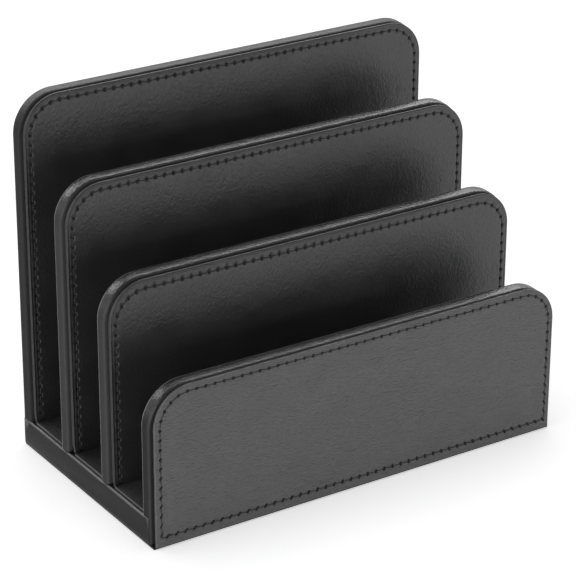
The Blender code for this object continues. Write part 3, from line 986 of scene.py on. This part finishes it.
def make_wrap_materials():
    wrap = Leather(
        dark=grey(0.017),
        light=grey(0.024),
        roughness=0.5,
        pebble=cells(0.8, 0.8, 0.8),
        pebble_depth=0.08 * MM,
        crease=cells(1.6, 0.8, 1.6),
        crease_depth=0.08 * MM,
    )
    strip = wrap._replace(dark=grey(0.022), light=grey(0.030))
    # The first colour in each is painted on the rounded edges, as painted highlight and wear.
    front_wear_and_highlight = WearAndHighlight(worn=grey(0.042), worn_roughness=0.27, dull_roughness=1.0, gloss=WRAP_SPECULAR)
    wear_and_highlight = WearAndHighlight(worn=grey(0.040), worn_roughness=0.27, dull_roughness=0.75, gloss=WRAP_SPECULAR)
    back_wear_and_highlight = WearAndHighlight(worn=grey(0.028), worn_roughness=0.4, dull_roughness=0.75, gloss=BACK_WRAP_SPECULAR)
    strip_wear_and_highlight = WearAndHighlight(worn=grey(0.045), worn_roughness=0.36, dull_roughness=0.9, gloss=WRAP_SPECULAR)
    plain_strip = make_wrap_leather("strip_leather", strip, strip_wear_and_highlight)
    return {
        "front_wrap": make_wrap_leather("front_wrap_leather", wrap, front_wear_and_highlight),
        "wrap": make_wrap_leather("wrap_leather", wrap, wear_and_highlight),
        "back_wrap": make_wrap_leather("back_wrap_leather", wrap, back_wear_and_highlight),
        # The strip's lighter colours are painted highlight on its edges and painted reflection along its
        # foot.
        "strip": paint_strip_highlights(plain_strip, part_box("base_strip_left")[0].z, grey(0.13)),
    }


def make_lining_material():
    lining = Leather(
        dark=grey(0.022),
        light=grey(0.040),
        roughness=0.65,
        pebble=cells(1.0, 1.6, 1.0),
        pebble_depth=0.18 * MM,
        crease=cells(1.0, 2.0, 1.0),
        crease_depth=0.10 * MM,
    )
    # The lining's lighter edge colour is a painted highlight.
    return paint_lining_edge_highlights(make_leather("slot_lining", lining), grey(0.10))


def make_plain_materials():
    thread = Plain(grey(0.03), grey(0.06), roughness=0.4, cell=cells(0.1, 0.1, 0.1), depth=0.05 * MM)
    board = Plain(BOARD_BROWN, PALE_BOARD_BROWN, roughness=0.85, cell=cells(0.7, 0.7, 0.3), depth=0.1 * MM)
    card = Plain(CARD_GREY, PALE_CARD_GREY, roughness=0.9, cell=cells(0.5, 0.2, 0.5), depth=0.03 * MM)
    felt = Plain(grey(0.014), grey(0.026), roughness=0.92, cell=cells(0.4, 0.4, 0.4), depth=0.3 * MM)
    steel = Plain(grey(0.50), grey(0.60), roughness=0.35, cell=cells(0.5, 0.5, 0.5), depth=0.02 * MM)
    return {
        "thread": make_plain("thread", thread),
        "board": make_plain("fibreboard", board),
        "card": make_plain("grey_card", card),
        # The sole's lighter side colour is a painted reflection of the floor.
        "sole": paint_sole_side_reflections(make_plain("felt_sole", felt), grey(0.15)),
        "steel": make_plain("zinc_steel", steel, metallic=1.0),
    }


def make_materials():
    materials = make_facing_materials()
    materials.update(make_wrap_materials())
    materials.update(make_plain_materials())
    materials["lining"] = make_lining_material()
    return materials


def dress_kept_nodes(nodes, materials):
    """Gives the CAD nodes that stay as they are their finished materials."""
    finishes = {"_board": "board", "_card": "card", "_screw_": "steel"}
    for name, item in nodes.items():
        for part_of_name, finish in finishes.items():
            if part_of_name in name:
                item.data.materials.clear()
                item.data.materials.append(materials[finish])


# Camera, fitted to the photograph's edges
CAMERA_YAW = 0.57840
CAMERA_PITCH = 0.42185
CAMERA_ROLL = 0.00324
FOCAL_LENGTH_PIXELS = 2573.1
IMAGE_PIXELS = 576
SENSOR_WIDTH_MILLIMETRES = 36.0
CAMERA_SHARES = (-2.71888, -3.88237, 2.58043)


def make_camera(size, front):
    """The camera's place is in shares of the width, from the middle of the front panel's foot."""
    data = bpy.data.cameras.new("camera")
    data.sensor_width = SENSOR_WIDTH_MILLIMETRES
    data.lens = FOCAL_LENGTH_PIXELS * SENSOR_WIDTH_MILLIMETRES / IMAGE_PIXELS
    camera = bpy.data.objects.new("camera", data)
    bpy.context.scene.collection.objects.link(camera)
    camera.location = [share * size for share in CAMERA_SHARES]
    camera.location.y += front
    turn = Matrix.Rotation(-CAMERA_YAW, 4, "Z") @ Matrix.Rotation(math.pi / 2 - CAMERA_PITCH, 4, "X")
    camera.rotation_euler = (turn @ Matrix.Rotation(CAMERA_ROLL, 4, "Z")).to_euler()
    bpy.context.scene.camera = camera


# Floor. Its lift is the light that it adds to itself where the camera or a reflection sees it.
FLOOR_RADIUS = 3.0
FLOOR_SIDES = 96
FLOOR_COLOUR = 0.9
FLOOR_ROUGHNESS = 0.9
FLOOR_LIFT = 0.6
# Painted contact shadow: near the object, ambient occlusion cuts the lift, over this reach and at most by
# this share.
CONTACT_REACH = 0.07
CONTACT_SHADOW_SHARE = 0.2
CONTACT_SAMPLES = 8

# Studio walls: their brightness, and where they start and end along the direction's own X, Y or Z
DARK_WALL = 0.05
LEFT_WALL = 1.5
RIGHT_WALL = 0.4
BACK_WALL = 0.8
SIDE_WALL_START = 0.7
SIDE_WALL_END = 0.9
BACK_WALL_START = 0.1
BACK_WALL_END = 0.4
BACK_WALL_TOP_START = 0.6
BACK_WALL_TOP_END = 0.85
HORIZON_START = 0.08
HORIZON_END = 0.15

# Lamps. A lamp's power is POWER_SHARE times its radiance and its area.
POWER_SHARE = 4
REAR_SOFTBOX_AZIMUTH = 14.0
REAR_SOFTBOX_ELEVATION = 45.0
REAR_SOFTBOX_WIDTH = 2.8
REAR_SOFTBOX_HEIGHT = 0.55
REAR_SOFTBOX_RADIANCE = 4.0
FILL_SIZE = 1.5
FILL_RADIANCE = 1.0
SOFTBOX_DISTANCE = 1.5


def make_floor():
    """A pale floor that looks nearly white and keeps the object's shadow, with a painted contact shadow at
    its foot, where ambient occlusion cuts its lift.
    """
    material, tree, shader = new_material("floor_paper")
    shader.inputs["Base Color"].default_value = (FLOOR_COLOUR, FLOOR_COLOUR, FLOOR_COLOUR, 1.0)
    shader.inputs["Roughness"].default_value = FLOOR_ROUGHNESS
    shader.inputs["Specular IOR Level"].default_value = 0.0
    rays = add_node(tree, "ShaderNodeLightPath").outputs
    seen = combine(tree, "MAXIMUM", rays["Is Camera Ray"], rays["Is Glossy Ray"])
    seen = combine(tree, "MAXIMUM", seen, rays["Is Transmission Ray"])
    shader.inputs["Emission Color"].default_value = (1.0, 1.0, 1.0, 1.0)
    near_object = add_node(
        tree, "ShaderNodeAmbientOcclusion", samples=CONTACT_SAMPLES, Distance=CONTACT_REACH
    )
    lift = ramp(tree, near_object.outputs["AO"], 0.0, 1.0, FLOOR_LIFT * (1 - CONTACT_SHADOW_SHARE), FLOOR_LIFT)
    tree.links.new(combine(tree, "MULTIPLY", seen, lift), shader.inputs["Emission Strength"])
    mesh_data = bmesh.new()
    bmesh.ops.create_circle(mesh_data, cap_ends=True, segments=FLOOR_SIDES, radius=FLOOR_RADIUS)
    mesh = bpy.data.meshes.new("floor")
    mesh_data.to_mesh(mesh)
    mesh_data.free()
    mesh.materials.append(material)
    floor = bpy.data.objects.new("floor", mesh)
    bpy.context.scene.collection.objects.link(floor)


def make_world():
    """A studio: white horizon, brighter wall on the left, lit behind, dim on the right, dark in front."""
    world = bpy.data.worlds.new("studio")
    bpy.context.scene.world = world
    world.use_nodes = True
    tree = world.node_tree
    direction = add_node(tree, "ShaderNodeTexCoord").outputs["Generated"]
    parts = add_node(tree, "ShaderNodeSeparateXYZ", [(0, direction)]).outputs
    height = parts["Z"]
    back = ramp(tree, parts["Y"], BACK_WALL_START, BACK_WALL_END, DARK_WALL, BACK_WALL)
    below = ramp(tree, height, BACK_WALL_TOP_START, BACK_WALL_TOP_END, 1.0, DARK_WALL)
    back = combine(tree, "MULTIPLY", back, below)
    right = ramp(tree, parts["X"], SIDE_WALL_START, SIDE_WALL_END, DARK_WALL, RIGHT_WALL)
    left = ramp(tree, parts["X"], -SIDE_WALL_START, -SIDE_WALL_END, DARK_WALL, LEFT_WALL)
    walls = combine(tree, "MAXIMUM", combine(tree, "MAXIMUM", left, right), back)
    horizon = ramp(tree, height, HORIZON_START, HORIZON_END, 1.0, 0.0)
    total = combine(tree, "MAXIMUM", walls, horizon)
    background = tree.nodes["Background"]
    background.inputs["Color"].default_value = (1.0, 1.0, 1.0, 1.0)
    tree.links.new(total, background.inputs["Strength"])


def add_softbox(name, azimuth, elevation, width, height, radiance):
    """A softbox that looks at the object. Azimuth is counted in degrees from +Y towards +X."""
    data = bpy.data.lights.new(name, "AREA")
    data.shape = "RECTANGLE"
    data.size = width
    data.size_y = height
    data.energy = POWER_SHARE * radiance * width * height
    lamp = bpy.data.objects.new(name, data)
    bpy.context.scene.collection.objects.link(lamp)
    level = math.cos(math.radians(elevation))
    across = level * math.sin(math.radians(azimuth))
    along = level * math.cos(math.radians(azimuth))
    facing = Vector((across, along, math.sin(math.radians(elevation))))
    lamp.location = facing * SOFTBOX_DISTANCE
    lamp.rotation_euler = facing.to_track_quat("Z", "Y").to_euler()
    return lamp


def make_lights():
    """A wide softbox behind is seen in reflections alone. A fill from above is seen in none."""
    rear = add_softbox(
        "rear_softbox",
        REAR_SOFTBOX_AZIMUTH,
        REAR_SOFTBOX_ELEVATION,
        REAR_SOFTBOX_WIDTH,
        REAR_SOFTBOX_HEIGHT,
        REAR_SOFTBOX_RADIANCE,
    )
    rear.visible_diffuse = False
    fill = add_softbox("overhead_fill", 0.0, 90.0, FILL_SIZE, FILL_SIZE, FILL_RADIANCE)
    fill.visible_glossy = False


def make_linings(material):
    reach = (LINING_SPREAD, LINING_REACH)
    for slot_name in ("front", "middle", "rear"):
        name = slot_name + "_slot_floor"
        node_name = slot_name + "_slot_lining"
        radius = LINING_EDGE_RADIUS
        make_sheet(name, node_name, radius, material, reach, LINING_REACH, LINING_RISE)


def make_sole(material):
    reach = (0.0, -SOLE_SETBACK)
    make_sheet("underside_felt_sheet", "underside_felt", FELT_EDGE_RADIUS, material, reach, 0.0, 0.0)


def build():
    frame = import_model()
    materials = make_materials()
    dress_kept_nodes(frame["nodes"], materials)
    for panel in PANELS:
        make_wrap(panel, materials)
        make_facing(panel, materials)
        make_stitches(panel, materials)
    make_strip(-1, "left", materials)
    make_strip(1, "right", materials)
    make_linings(materials["lining"])
    make_sole(materials["sole"])
    low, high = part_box("front_wrap")
    make_camera(high.x - low.x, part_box("front_facing")[0].y)
    make_floor()
    make_world()
    make_lights()
    bpy.context.scene.view_settings.view_transform = "Standard"


build()
